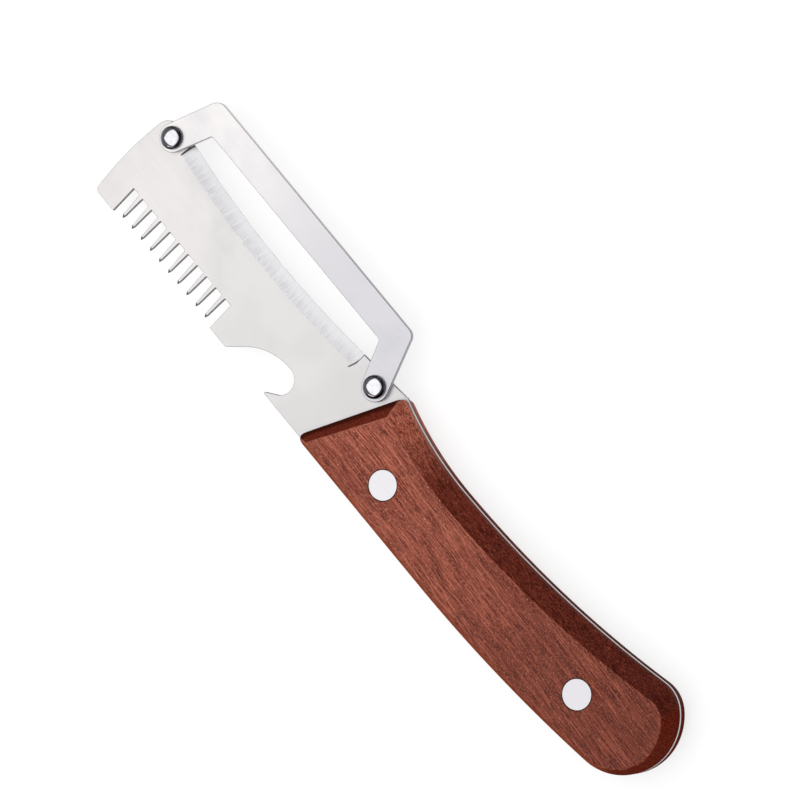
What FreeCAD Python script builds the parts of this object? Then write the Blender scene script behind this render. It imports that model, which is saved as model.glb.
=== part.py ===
import FreeCAD, Part
import math
import os
import Sketcher
from FreeCAD import Vector

# A short kitchen peeling knife, lying flat with its front face up. The origin is on the flat outer
# face of the rear scale, midway between the two handle rivets. +X runs to the tip, +Y to the comb
# and the bottle opener, -Y to the peeling edge and its guard, +Z out of the front face. Millimetres.

SIZES = [
    # name, value, what it is
    ("blade_thick", 1.2, "stamped blade and tang"),
    ("guard_thick", 1.2, "stamped guard"),
    ("scale_thick", 6.0, "each wooden scale"),
    ("belly_y", 12.65, "straight side of the head, in line with the handle's belly"),
    ("spine_y", -14.5, "other side of the head, beyond the ends of the peeling edge"),
    ("tip_belly_x", 142.1, "head's end at the belly"),
    ("tip_spine_x", 141.1, "head's end at the spine"),
    ("tip_bow", 88.0, "radius of the slightly bowed end of the head"),
    ("tip_spine_round", 3.9, "corner of the head beside the guard"),
    ("tip_belly_round", 1.3, "corner of the head beside the comb"),
    ("edge_heel_x", 62.8, "peeling edge, handle end"),
    ("edge_heel_y", -13.21, "the same end, across"),
    ("edge_tip_x", 131.4, "peeling edge, tip end"),
    ("edge_tip_y", -14.11, "the same end, across"),
    ("edge_radius", 290.0, "concave curve of the peeling edge"),
    ("edge_centre_x", 93.3, "centre of that curve"),
    ("edge_apex_y", -11.6, "deepest point of that curve"),
    ("edge_flat", 0.12, "thickness left at the sharpened edge"),
    ("bevel_width", 4.3, "ground bevel, across"),
    ("comb_start_x", 95.8, "comb, handle end"),
    ("comb_end_x", 135.0, "comb, tip end"),
    ("comb_middle_x", 115.4, "middle of the comb"),
    ("comb_length", 39.2, "comb, end to end"),
    ("comb_root_y", 4.8, "bottom of the comb's slots"),
    ("tine_first_x", 98.75, "centre of the first tine"),
    ("tine_pitch", 3.7, "tine to tine"),
    ("tine_count", 10, "tines"),
    ("tine_root_half", 0.58, "half the width of a tine at its root"),
    ("tine_root_round", 0.3, "round beside a tine's root"),
    ("tine_neck_half", 0.33, "half the width where the point begins"),
    ("tine_neck_y", 11.15, "where the point begins"),
    ("tine_tip_half", 0.08, "half the width left at the point"),
    ("tine_tip_y", 12.05, "end of a tine"),
    ("tine_grind_end_y", 12.4, "where the grinding plane meets tine_grind_low"),
    ("tine_grind_low", 0.35, "height of the grinding plane there"),
    ("notch_middle_x", 73.5, "middle of the opener's round throat"),
    ("notch_floor_y", 3.38, "bottom of the throat"),
    ("throat_radius", 3.72, "round throat under the hook"),
    ("throat_hook_x", 71.49, "where the throat meets the hook's flank"),
    ("throat_hook_y", 10.23, "the same point, across"),
    ("hook_x", 74.2, "point of the hook"),
    ("hook_y", 12.15, "underside of the hook's point"),
    ("sweep_radius", 17.0, "long curve on the tip side of the notch"),
    ("sweep_end_x", 85.93, "end of that curve"),
    ("sweep_end_y", 8.79, "the same point, across"),
    ("notch_mouth_x", 89.52, "notch's corner on the belly"),
    ("cut_clear", 1.0, "how far a cutting shape stands outside the plate"),
    ("corner_soft", 0.8, "small round on the notch's outer corner"),
    ("heel_rivet_x", 54.8, "guard rivet beside the handle"),
    ("heel_rivet_y", -10.6, "the same rivet, across"),
    ("tip_rivet_x", 136.25, "guard rivet beside the tip"),
    ("tip_rivet_y", -11.6, "the same rivet, across"),
    ("guard_end_radius", 3.6, "round ends of the guard's arms"),
    ("guard_heel_out_x", 57.15, "outer corner, handle end"),
    ("guard_heel_out_y", -26.5, "the same corner, across"),
    ("guard_tip_out_x", 133.95, "outer corner, tip end"),
    ("guard_tip_out_y", -27.1, "the same corner, across"),
    ("guard_heel_in_x", 62.35, "inner corner, handle end"),
    ("guard_heel_in_y", -19.15, "the same corner, across"),
    ("guard_tip_in_x", 128.95, "inner corner, tip end"),
    ("guard_tip_in_y", -19.65, "the same corner, across"),
    ("guard_heel_round", 2.4, "outer corner's round, handle end"),
    ("guard_tip_round", 3.2, "outer corner's round, tip end"),
    ("guard_in_round", 0.8, "inner corners' round"),
    ("guard_shank_radius", 1.5, "guard rivet's shank"),
    ("guard_hole_radius", 1.52, "its hole in guard and blade"),
    ("dome_radius", 2.87, "guard rivet's head, across"),
    ("dome_rim", 0.45, "straight rim under the dome"),
    ("dome_height", 1.9, "head over the guard"),
    ("tail_radius", 2.4, "peened tail behind the blade"),
    ("tail_rim", 0.2, "straight rim of the tail"),
    ("tail_height", 0.8, "tail behind the blade"),
    ("front_rivet_x", 34.7, "handle rivet beside the blade"),
    ("front_rivet_y", 2.0, "the same rivet, across"),
    ("rear_rivet_x", -34.7, "handle rivet beside the butt"),
    ("rear_rivet_y", -2.0, "the same rivet, across"),
    ("flush_radius", 3.72, "flat head of a handle rivet"),
    ("flush_thick", 1.4, "its thickness"),
    ("flush_edge", 0.15, "its bevelled edge"),
    ("sink_radius", 3.87, "its recess in the wood"),
    ("tube_radius", 2.5, "tubular half, outside"),
    ("tube_hole_radius", 2.53, "hole for it in scales and tang"),
    ("pin_radius", 1.6, "solid half's pin"),
    ("pin_bore_radius", 1.62, "bore of the tubular half"),
    ("pin_gap", 0.2, "end gap of pin and tube"),
    ("land", 1.8, "upright edge of a scale beside the tang"),
    # the handle's outline at the tang
    ("foot_front_belly_x", 60.3, "slanted front end, belly corner"),
    ("foot_front_belly_y", 12.6, "the same corner, across"),
    ("foot_front_spine_x", 47.6, "slanted front end, spine corner"),
    ("foot_peak_x", 21.0, "narrowest place of the spine side"),
    ("foot_peak_y", -10.6, "the same place, across"),
    ("foot_front_radius", 90.0, "spine curve towards the blade"),
    ("foot_rear_radius", 285.0, "spine curve towards the butt"),
    ("foot_belly_x", 12.0, "where the belly begins to curve"),
    ("foot_belly_radius", 400.0, "belly curve"),
    ("foot_butt_x", -58.6, "end of the handle"),
    ("foot_butt_radius", 14.2, "butt, belly quarter"),
    ("foot_heel_radius", 8.5, "butt, spine quarter"),
    # the outline of a scale's flat outer face
    ("face_front_belly_x", 56.0, "slanted front end, belly corner"),
    ("face_front_belly_y", 10.4, "the same corner, across"),
    ("face_front_spine_x", 45.5, "slanted front end, spine corner"),
    ("face_peak_x", 21.0, "narrowest place of the spine side"),
    ("face_peak_y", -6.65, "the same place, across"),
    ("face_front_radius", 88.0, "spine curve towards the blade"),
    ("face_rear_radius", 287.0, "spine curve towards the butt"),
    ("face_belly_x", 12.0, "where the belly begins to curve"),
    ("face_belly_radius", 410.0, "belly curve"),
    ("face_butt_x", -57.0, "end of the face"),
    ("face_butt_radius", 11.5, "butt, belly quarter"),
    ("face_heel_radius", 5.5, "butt, spine quarter"),
]

STACK = "scale_thick + blade_thick + scale_thick"
ZERO = ""    # an empty sum

doc = FreeCAD.newDocument("peeling_knife")
sheet = doc.addObject("Spreadsheet::Sheet", "Sizes")
for row, (name, value, note) in enumerate(SIZES, start=1):
    sheet.set(f"A{row}", note)
    sheet.set(f"B{row}", str(value))
    sheet.setAlias(f"B{row}", name)
doc.recompute()


def number(terms):
    """Value of a sum of cells, such as 'scale_thick + blade_thick'."""
    total = 0.0
    sign = 1
    for word in terms.split():
        if word in "+-":
            sign = 1 if word == "+" else -1
        else:
            total += sign * float(sheet.get(word))
    return total


def bound(terms):
    """The same sum as an expression for setExpression."""
    return " ".join(word if word in "+-" else f"Sizes.{word}" for word in terms.split())


def spot(x_terms, y_terms):
    return Vector(number(x_terms), number(y_terms), 0)


# Bodies, planes and sketches

def new_body(label, x_terms=None, y_terms=None, z_terms=None):
    body = doc.addObject("PartDesign::Body", label)
    body.Label = label
    for axis, terms in zip("xyz", (x_terms, y_terms, z_terms)):
        if terms:
            body.setExpression(f"Placement.Base.{axis}", bound(terms))
    return body


def origin_part(body, role):
    return next(item for item in body.Origin.OriginFeatures if item.Role == role)


def new_sketch(body, name, role="XY_Plane", offset=None):
    sketch = body.newObject("Sketcher::SketchObject", name)
    sketch.AttachmentSupport = [(origin_part(body, role), "")]
    sketch.MapMode = "FlatFace"
    if offset:
        sketch.setExpression("AttachmentOffset.Base.z", bound(offset))
    return sketch


def limit(sketch, kind, terms, *places):
    """Add a constraint whose value is bound to the sheet."""
    index = sketch.addConstraint(Sketcher.Constraint(kind, *places, number(terms)))
    if terms:
        sketch.setExpression(f"Constraints[{index}]", bound(terms))


def fix_point(sketch, item, end, x_terms, y_terms):
    limit(sketch, "DistanceX", x_terms, -1, 1, item, end)
    limit(sketch, "DistanceY", y_terms, -1, 1, item, end)


def join(sketch, kind, item, end, next_item, next_end):
    """kind is Coincident for a corner and Tangent for a smooth passage."""
    sketch.addConstraint(Sketcher.Constraint(kind, item, end, next_item, next_end))


def add_line(sketch, first, last):
    return sketch.addGeometry(Part.LineSegment(first, last))


def add_arc(sketch, centre, first, last):
    """Arc from first to last, counter-clockwise about centre."""
    start = math.atan2(first.y - centre.y, first.x - centre.x)
    stop = math.atan2(last.y - centre.y, last.x - centre.x)
    if stop < start:
        stop += 2 * math.pi
    circle = Part.Circle(centre, Vector(0, 0, 1), centre.distanceToPoint(first))
    return sketch.addGeometry(Part.ArcOfCircle(circle, start, stop))


def centre_left(first, last, radius):
    """Centre of the short counter-clockwise arc from first to last."""
    chord = last - first
    rise = math.sqrt(radius ** 2 - (chord.Length / 2) ** 2)
    return first + chord * 0.5 + Vector(-chord.y, chord.x, 0).normalize() * rise


def add_outline(sketch, corners, arcs=None):
    """Closed outline through fixed corners. arcs maps a side's number to (radius cell, turn)."""
    arcs = arcs or {}
    sides = []
    for index, corner in enumerate(corners):
        first = spot(*corner)
        last = spot(*corners[(index + 1) % len(corners)])
        if index not in arcs:
            sides.append((add_line(sketch, first, last), 1, 2))
            continue
        radius, turn = arcs[index]
        if turn < 0:
            first, last = last, first
        item = add_arc(sketch, centre_left(first, last, number(radius)), first, last)
        limit(sketch, "Radius", radius, item)
        sides.append((item, 1, 2) if turn > 0 else (item, 2, 1))
    for index, corner in enumerate(corners):
        item, start, _ = sides[index]
        before, _, stop = sides[index - 1]
        join(sketch, "Coincident", before, stop, item, start)
        fix_point(sketch, item, start, *corner)


def add_circle(sketch, x_terms, y_terms, radius):
    circle = Part.Circle(spot(x_terms, y_terms), Vector(0, 0, 1), number(radius))
    item = sketch.addGeometry(circle)
    fix_point(sketch, item, 3, x_terms, y_terms)
    limit(sketch, "Radius", radius, item)


# Features

def pad(body, sketch, name, length):
    feature = body.newObject("PartDesign::Pad", name)
    feature.Profile = sketch
    feature.setExpression("Length", bound(length))
    doc.recompute()
    return feature


def pocket(body, sketch, name, length=None, upward=False, both_ways=False):
    """Cut along the sketch's normal: through everything when no length is given."""
    before = body.Shape.Volume
    feature = body.newObject("PartDesign::Pocket", name)
    feature.Profile = sketch
    feature.Reversed = upward
    feature.Midplane = both_ways
    if length:
        feature.setExpression("Length", bound(length))
    else:
        feature.Type = "ThroughAll"
    doc.recompute()
    if body.Shape.Volume > before - 1e-6:
        raise RuntimeError(f"{name} cuts nothing")
    return feature


def upright_edges(shape, spots):
    """Names of the edges along Z that stand nearest to the given places."""
    names = []
    for place in spots:
        best = None
        for index, edge in enumerate(shape.Edges, start=1):
            low, high = edge.Vertexes[0].Point, edge.Vertexes[-1].Point
            if math.hypot(low.x - high.x, low.y - high.y) > 1e-4:
                continue
            gap = math.hypot(low.x - place.x, low.y - place.y)
            if best is None or gap < best[0]:
                best = (gap, f"Edge{index}")
        names.append(best[1])
    return names


def round_edges(body, name, edge_names, radius):
    base = body.Tip
    feature = body.newObject("PartDesign::Fillet", name)
    feature.Base = (base, edge_names)
    feature.setExpression("Radius", bound(radius))
    body.Tip = feature
    doc.recompute()
    return feature


def revolve(body, sketch, name):
    feature = body.newObject("PartDesign::Revolution", name)
    feature.Profile = sketch
    feature.ReferenceAxis = (origin_part(body, "Z_Axis"), [""])
    feature.Angle = 360
    doc.recompute()
    return feature


# The handle's outline, shared by the tang and both scales

def toward(start, goal, distance):
    return start + (goal - start).normalize() * distance


def meeting_point(first, first_reach, second, second_reach):
    """Left-hand crossing of two circles, seen from first to second."""
    span = second - first
    along = (span.Length ** 2 + first_reach ** 2 - second_reach ** 2) / (2 * span.Length)
    aside = math.sqrt(first_reach ** 2 - along ** 2)
    unit = span.normalize()
    return first + unit * along + Vector(-unit.y, unit.x, 0) * aside


def add_handle_outline(sketch, level):
    """Front line, spine in two arcs, butt in two arcs, belly arc and belly line, all tangent."""
    belly_front = spot(f"{level}_front_belly_x", f"{level}_front_belly_y")
    peak = spot(f"{level}_peak_x", f"{level}_peak_y")
    front_radius, rear_radius, belly_radius, butt_radius, heel_radius = (
        number(f"{level}_{part}_radius") for part in ("front", "rear", "belly", "butt", "heel"))
    front_centre = peak - Vector(0, front_radius, 0)
    rear_centre = peak - Vector(0, rear_radius, 0)
    belly_start = Vector(number(f"{level}_belly_x"), belly_front.y, 0)
    belly_centre = belly_start - Vector(0, belly_radius, 0)
    spine_x = number(f"{level}_front_spine_x")
    spine_rise = math.sqrt(front_radius ** 2 - (spine_x - peak.x) ** 2)
    spine_front = Vector(spine_x, front_centre.y + spine_rise, 0)
    butt_x = number(f"{level}_butt_x") + butt_radius
    butt_drop = math.sqrt((belly_radius - butt_radius) ** 2 - (butt_x - belly_centre.x) ** 2)
    butt_centre = Vector(butt_x, belly_centre.y + butt_drop, 0)
    heel_centre = meeting_point(rear_centre, rear_radius + heel_radius,
                                butt_centre, butt_radius - heel_radius)
    belly_end = toward(belly_centre, butt_centre, belly_radius)
    butt_end = toward(butt_centre, heel_centre, butt_radius)
    spine_end = toward(rear_centre, heel_centre, rear_radius)

    front = add_line(sketch, belly_front, spine_front)
    spine = add_arc(sketch, front_centre, spine_front, peak)
    tail = add_arc(sketch, rear_centre, peak, spine_end)
    heel = add_arc(sketch, heel_centre, butt_end, spine_end)
    butt = add_arc(sketch, butt_centre, belly_end, butt_end)
    belly = add_arc(sketch, belly_centre, belly_start, belly_end)
    side = add_line(sketch, belly_start, belly_front)

    join(sketch, "Coincident", front, 2, spine, 1)
    join(sketch, "Tangent", spine, 2, tail, 1)
    join(sketch, "Tangent", tail, 2, heel, 2)
    join(sketch, "Tangent", heel, 1, butt, 2)
    join(sketch, "Tangent", butt, 1, belly, 2)
    join(sketch, "Tangent", belly, 1, side, 1)
    join(sketch, "Coincident", side, 2, front, 1)
    sketch.addConstraint(Sketcher.Constraint("Horizontal", side))
    fix_point(sketch, front, 1, f"{level}_front_belly_x", f"{level}_front_belly_y")
    limit(sketch, "DistanceX", f"{level}_front_spine_x", -1, 1, front, 2)
    fix_point(sketch, tail, 1, f"{level}_peak_x", f"{level}_peak_y")
    limit(sketch, "DistanceX", f"{level}_peak_x", -1, 1, tail, 3)
    limit(sketch, "DistanceX", f"{level}_belly_x", -1, 1, side, 1)
    limit(sketch, "DistanceX", f"{level}_butt_x + {level}_butt_radius", -1, 1, butt, 3)
    for item, part in ((spine, "front"), (tail, "rear"), (belly, "belly"), (butt, "butt"),
                       (heel, "heel")):
        limit(sketch, "Radius", f"{level}_{part}_radius", item)


# Blade: one stamped plate with head and full tang

def add_head(body):
    sketch = new_sketch(body, "head_outline")
    corners = [
        ("foot_front_belly_x", "belly_y"),
        ("foot_front_spine_x", "spine_y"),
        ("edge_heel_x", "edge_heel_y"),
        ("edge_tip_x", "edge_tip_y"),
        ("tip_spine_x", "spine_y"),
        ("tip_belly_x", "belly_y"),
    ]
    add_outline(sketch, corners, {2: ("edge_radius", -1), 4: ("tip_bow", 1)})
    pad(body, sketch, "head", "blade_thick")


def add_tang(body):
    sketch = new_sketch(body, "tang_outline")
    add_handle_outline(sketch, "foot")
    pad(body, sketch, "tang", "blade_thick")


def cut_comb(body):
    gap = new_sketch(body, "comb_outline")
    add_outline(gap, [
        ("comb_start_x", "comb_root_y"),
        ("comb_end_x", "comb_root_y"),
        ("comb_end_x", "belly_y + cut_clear"),
        ("comb_start_x", "belly_y + cut_clear"),
    ])
    pocket(body, gap, "comb_gap", upward=True)

    tine = new_sketch(body, "tine_outline")
    root = "tine_root_half + tine_root_round"
    add_outline(tine, [
        ("tine_first_x - tine_root_half - tine_root_round", "comb_root_y"),
        (f"tine_first_x + {root}", "comb_root_y"),
        ("tine_first_x + tine_root_half", "comb_root_y + tine_root_round"),
        ("tine_first_x + tine_neck_half", "tine_neck_y"),
        ("tine_first_x + tine_tip_half", "tine_tip_y"),
        ("tine_first_x - tine_tip_half", "tine_tip_y"),
        ("tine_first_x - tine_neck_half", "tine_neck_y"),
        ("tine_first_x - tine_root_half", "comb_root_y + tine_root_round"),
    ], {1: ("tine_root_round", -1), 7: ("tine_root_round", -1)})
    first = pad(body, tine, "tine", "blade_thick")

    row = body.newObject("PartDesign::LinearPattern", "tine_row")
    row.Originals = [first]
    row.Direction = (origin_part(body, "X_Axis"), [""])
    row.setExpression("Length", "Sizes.tine_pitch * (Sizes.tine_count - 1)")
    row.setExpression("Occurrences", "Sizes.tine_count")
    body.Tip = row
    doc.recompute()

    grind = new_sketch(body, "tine_grind_outline", "YZ_Plane", "comb_middle_x")
    add_outline(grind, [
        ("tine_neck_y", "blade_thick"),
        ("tine_grind_end_y", "tine_grind_low"),
        ("tine_grind_end_y", "blade_thick"),
    ])
    pocket(body, grind, "tine_grind", "comb_length", both_ways=True)


def cut_opener(body):
    sketch = new_sketch(body, "opener_outline")
    add_outline(sketch, [
        ("notch_mouth_x", "belly_y + cut_clear"),
        ("notch_mouth_x", "belly_y"),
        ("sweep_end_x", "sweep_end_y"),
        ("notch_middle_x", "notch_floor_y"),
        ("throat_hook_x", "throat_hook_y"),
        ("hook_x", "hook_y"),
        ("hook_x", "belly_y + cut_clear"),
    ], {2: ("sweep_radius", -1), 3: ("throat_radius", -1)})
    pocket(body, sketch, "opener_notch", upward=True)


def round_head(body):
    places = (
        ("tip_spine_x", "spine_y", "tip_spine_round"),
        ("tip_belly_x", "belly_y", "tip_belly_round"),
        ("notch_mouth_x", "belly_y", "corner_soft"),
    )
    for x_terms, y_terms, radius in places:
        edges = upright_edges(body.Shape, [spot(x_terms, y_terms)])
        round_edges(body, radius, edges, radius)


def grind_edge(body):
    """Chisel bevel on the front face: a flat cone about the centre of the edge's curve."""
    sketch = new_sketch(body, "bevel_outline", "YZ_Plane", "edge_centre_x")
    sketch.setExpression("AttachmentOffset.Base.x", bound("edge_apex_y - edge_radius"))
    add_outline(sketch, [
        ("edge_radius - cut_clear", "edge_flat"),
        ("edge_radius", "edge_flat"),
        ("edge_radius + bevel_width", "blade_thick"),
        ("edge_radius - cut_clear", "blade_thick"),
    ])
    doc.recompute()

    before = body.Shape.Volume
    groove = body.newObject("PartDesign::Groove", "edge_bevel")
    groove.Profile = sketch
    groove.ReferenceAxis = (sketch, ["V_Axis"])
    groove.Type = "TwoAngles"
    for angle, run in (("Angle", "Sizes.edge_centre_x - Sizes.edge_heel_x"),
                       ("Angle2", "Sizes.edge_tip_x - Sizes.edge_centre_x")):
        groove.setExpression(angle, f"asin(({run}) / Sizes.edge_radius)")
    doc.recompute()
    if body.Shape.Volume > before - 1:
        raise RuntimeError("edge_bevel cuts nothing")


def drill_blade(body):
    sketch = new_sketch(body, "blade_holes")
    for end in ("heel", "tip"):
        add_circle(sketch, f"{end}_rivet_x", f"{end}_rivet_y", "guard_hole_radius")
    for end in ("front", "rear"):
        add_circle(sketch, f"{end}_rivet_x", f"{end}_rivet_y", "tube_hole_radius")
    pocket(body, sketch, "rivet_holes", upward=True)


def make_blade():
    body = new_body("blade", z_terms="scale_thick")
    add_head(body)
    add_tang(body)
    cut_comb(body)
    cut_opener(body)
    round_head(body)
    grind_edge(body)
    drill_blade(body)
    return body


# Guard: flat bracket whose arms end round, concentric with their rivets

def tangent_point(corner, centre, radius, turn):
    """Where the line from corner touches the circle, on its left (1) or right (-1) side."""
    span = centre - corner
    lean = turn * math.asin(radius / span.Length)
    reach = math.sqrt(span.Length ** 2 - radius ** 2)
    direction = math.atan2(span.y, span.x) + lean
    return corner + Vector(math.cos(direction), math.sin(direction), 0) * reach


def make_guard():
    body = new_body("guard", z_terms="scale_thick + blade_thick")
    sketch = new_sketch(body, "guard_outline")
    cells = {f"{end}_{side}": (f"guard_{end}_{side}_x", f"guard_{end}_{side}_y")
             for end in ("heel", "tip") for side in ("out", "in")}
    corner = {name: spot(*terms) for name, terms in cells.items()}
    radius = number("guard_end_radius")
    heel = spot("heel_rivet_x", "heel_rivet_y")
    tip = spot("tip_rivet_x", "tip_rivet_y")
    tip_out = tangent_point(corner["tip_out"], tip, radius, -1)
    tip_in = tangent_point(corner["tip_in"], tip, radius, 1)
    heel_out = tangent_point(corner["heel_out"], heel, radius, 1)
    heel_in = tangent_point(corner["heel_in"], heel, radius, -1)

    bar_out = add_line(sketch, corner["heel_out"], corner["tip_out"])
    arm_tip_out = add_line(sketch, corner["tip_out"], tip_out)
    end_tip = add_arc(sketch, tip, tip_out, tip_in)
    arm_tip_in = add_line(sketch, tip_in, corner["tip_in"])
    bar_in = add_line(sketch, corner["tip_in"], corner["heel_in"])
    arm_heel_in = add_line(sketch, corner["heel_in"], heel_in)
    end_heel = add_arc(sketch, heel, heel_in, heel_out)
    arm_heel_out = add_line(sketch, heel_out, corner["heel_out"])

    chain = [bar_out, arm_tip_out, end_tip, arm_tip_in, bar_in, arm_heel_in, end_heel, arm_heel_out]
    for item, following in zip(chain, chain[1:] + chain[:1]):
        smooth = {item, following} & {end_tip, end_heel}
        join(sketch, "Tangent" if smooth else "Coincident", item, 2, following, 1)
    for item, name in ((bar_out, "heel_out"), (arm_tip_out, "tip_out"), (bar_in, "tip_in"),
                       (arm_heel_in, "heel_in")):
        fix_point(sketch, item, 1, *cells[name])
    for item, end in ((end_tip, "tip"), (end_heel, "heel")):
        fix_point(sketch, item, 3, f"{end}_rivet_x", f"{end}_rivet_y")
        limit(sketch, "Radius", "guard_end_radius", item)
    pad(body, sketch, "guard_plate", "guard_thick")

    for names, round_size in ((("heel_out",), "guard_heel_round"), (("tip_out",), "guard_tip_round"),
                              (("heel_in", "tip_in"), "guard_in_round")):
        edges = upright_edges(body.Shape, [corner[name] for name in names])
        round_edges(body, round_size, edges, round_size)

    holes = new_sketch(body, "guard_holes")
    for end in ("heel", "tip"):
        add_circle(holes, f"{end}_rivet_x", f"{end}_rivet_y", "guard_hole_radius")
    pocket(body, holes, "guard_rivet_holes", upward=True)
    return body


# Turned pieces: half sections about their own Z axis

def add_section(sketch, corners, domes=()):
    """Closed half section. domes are the sides that are arcs centred on the axis."""
    items = []
    for index, corner in enumerate(corners):
        first = spot(*corner)
        last = spot(*corners[(index + 1) % len(corners)])
        if index not in domes:
            items.append(add_line(sketch, first, last))
            continue
        half = (last - first) * 0.5
        centre_y = (last.Length ** 2 - first.Length ** 2) / (4 * half.y)
        items.append(add_arc(sketch, Vector(0, centre_y, 0), first, last))
        sketch.addConstraint(Sketcher.Constraint("PointOnObject", items[-1], 3, -2))
    for index, corner in enumerate(corners):
        join(sketch, "Coincident", items[index - 1], 2, items[index], 1)
        fix_point(sketch, items[index], 1, *corner)


def make_guard_rivet(label, end):
    """Dome head on the guard, shank through guard and blade, low peened tail behind."""
    body = new_body(label, f"{end}_rivet_x", f"{end}_rivet_y", "scale_thick")
    sketch = new_sketch(body, f"{label}_section", "XZ_Plane")
    seat = "blade_thick + guard_thick"
    add_section(sketch, [
        (ZERO, "- tail_height"),
        ("tail_radius", "- tail_rim"),
        ("tail_radius", ZERO),
        ("guard_shank_radius", ZERO),
        ("guard_shank_radius", seat),
        ("dome_radius", seat),
        ("dome_radius", f"{seat} + dome_rim"),
        (ZERO, f"{seat} + dome_height"),
    ], domes=(0, 6))
    revolve(body, sketch, f"{label}_turned")
    return body


def make_rivet_post(label, end):
    """Solid half of a handle rivet: flat head in the front scale, pin down into the tube."""
    body = new_body(label, f"{end}_rivet_x", f"{end}_rivet_y")
    sketch = new_sketch(body, f"{label}_section", "XZ_Plane")
    add_section(sketch, [
        (ZERO, "flush_thick + pin_gap"),
        ("pin_radius", "flush_thick + pin_gap"),
        ("pin_radius", f"{STACK} - flush_thick"),
        ("flush_radius", f"{STACK} - flush_thick"),
        ("flush_radius", f"{STACK} - flush_edge"),
        ("flush_radius - flush_edge", STACK),
        (ZERO, STACK),
    ])
    revolve(body, sketch, f"{label}_turned")
    return body


def make_rivet_cap(label, end):
    """Tubular half: flat head in the rear scale, tube up through rear scale, tang and front scale."""
    body = new_body(label, f"{end}_rivet_x", f"{end}_rivet_y")
    sketch = new_sketch(body, f"{label}_section", "XZ_Plane")
    add_section(sketch, [
        (ZERO, ZERO),
        ("flush_radius - flush_edge", ZERO),
        ("flush_radius", "flush_edge"),
        ("flush_radius", "flush_thick"),
        ("tube_radius", "flush_thick"),
        ("tube_radius", f"{STACK} - flush_thick - pin_gap"),
        ("pin_bore_radius", f"{STACK} - flush_thick - pin_gap"),
        ("pin_bore_radius", "flush_thick"),
        (ZERO, "flush_thick"),
    ])
    revolve(body, sketch, f"{label}_turned")
    return body


# Scales: upright land beside the tang, then bevels up to the smaller flat face

def make_scale(label, body_z, foot, land_top, face, cut_upward):
    body = new_body(label, z_terms=body_z)
    sections = []
    for name, level, height in (("foot", "foot", foot), ("shoulder", "foot", land_top),
                                ("flat", "face", face)):
        sketch = new_sketch(body, f"{label}_{name}", offset=height)
        add_handle_outline(sketch, level)
        sections.append(sketch)
    doc.recompute()
    loft = body.newObject("PartDesign::AdditiveLoft", f"{label}_bevelled")
    loft.Profile = sections[0]
    loft.Sections = sections[1:]
    loft.Ruled = True
    doc.recompute()

    holes = new_sketch(body, f"{label}_holes", offset=face)
    recesses = new_sketch(body, f"{label}_recesses", offset=face)
    for end in ("front", "rear"):
        add_circle(holes, f"{end}_rivet_x", f"{end}_rivet_y", "tube_hole_radius")
        add_circle(recesses, f"{end}_rivet_x", f"{end}_rivet_y", "sink_radius")
    pocket(body, holes, f"{label}_rivet_holes", upward=cut_upward)
    pocket(body, recesses, f"{label}_rivet_recesses", "flush_thick", upward=cut_upward)
    return body


parts = [
    make_blade(),
    make_guard(),
    make_guard_rivet("guard_rivet_heel", "heel"),
    make_guard_rivet("guard_rivet_tip", "tip"),
    make_scale("scale_front", "scale_thick + blade_thick", ZERO, "land", "scale_thick", False),
    make_scale("scale_rear", ZERO, "scale_thick", "scale_thick - land", ZERO, True),
    make_rivet_post("front_rivet_post", "front"),
    make_rivet_cap("front_rivet_cap", "front"),
    make_rivet_post("rear_rivet_post", "rear"),
    make_rivet_cap("rear_rivet_cap", "rear"),
]

doc.recompute()
for item in doc.Objects:
    if "Invalid" in item.State or "Error" in item.State:
        raise RuntimeError(f"{item.Label}: {item.State}")
for part in parts:
    if part.Shape.isNull() or not part.Shape.isValid() or len(part.Shape.Solids) != 1:
        raise RuntimeError(f"{part.Label} is not one valid solid")

os.makedirs("parts", exist_ok=True)
for part in parts:
    part.Shape.exportStep(f"parts/{part.Label}.step")
    box = part.Shape.BoundBox
    print(f"{part.Label:18s} {part.Shape.Volume:10.2f} mm3  "
          f"x {box.XMin:7.2f} {box.XMax:7.2f}  y {box.YMin:7.2f} {box.YMax:7.2f}  "
          f"z {box.ZMin:6.2f} {box.ZMax:6.2f}")
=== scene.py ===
import math

import bmesh
import bpy
import numpy as np
from mathutils import Matrix, Vector


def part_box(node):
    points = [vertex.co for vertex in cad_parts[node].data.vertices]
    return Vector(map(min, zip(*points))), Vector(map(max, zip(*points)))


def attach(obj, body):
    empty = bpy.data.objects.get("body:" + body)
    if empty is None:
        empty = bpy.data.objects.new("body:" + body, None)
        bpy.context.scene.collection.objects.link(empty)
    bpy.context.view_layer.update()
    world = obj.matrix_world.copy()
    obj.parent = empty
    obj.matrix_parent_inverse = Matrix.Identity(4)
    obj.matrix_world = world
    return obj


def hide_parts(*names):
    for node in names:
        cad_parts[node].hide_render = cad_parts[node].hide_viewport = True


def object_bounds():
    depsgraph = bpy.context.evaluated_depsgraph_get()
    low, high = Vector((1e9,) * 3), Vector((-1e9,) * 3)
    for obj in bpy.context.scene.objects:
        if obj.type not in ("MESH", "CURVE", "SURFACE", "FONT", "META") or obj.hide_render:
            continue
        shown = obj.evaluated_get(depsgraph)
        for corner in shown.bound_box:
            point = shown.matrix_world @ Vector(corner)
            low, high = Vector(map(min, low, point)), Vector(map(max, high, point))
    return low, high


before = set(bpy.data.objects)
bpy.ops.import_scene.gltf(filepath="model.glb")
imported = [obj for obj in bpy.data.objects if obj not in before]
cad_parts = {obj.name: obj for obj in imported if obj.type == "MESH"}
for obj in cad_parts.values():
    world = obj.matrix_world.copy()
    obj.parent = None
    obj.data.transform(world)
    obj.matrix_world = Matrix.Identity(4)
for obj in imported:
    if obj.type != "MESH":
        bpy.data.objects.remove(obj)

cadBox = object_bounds()
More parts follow.
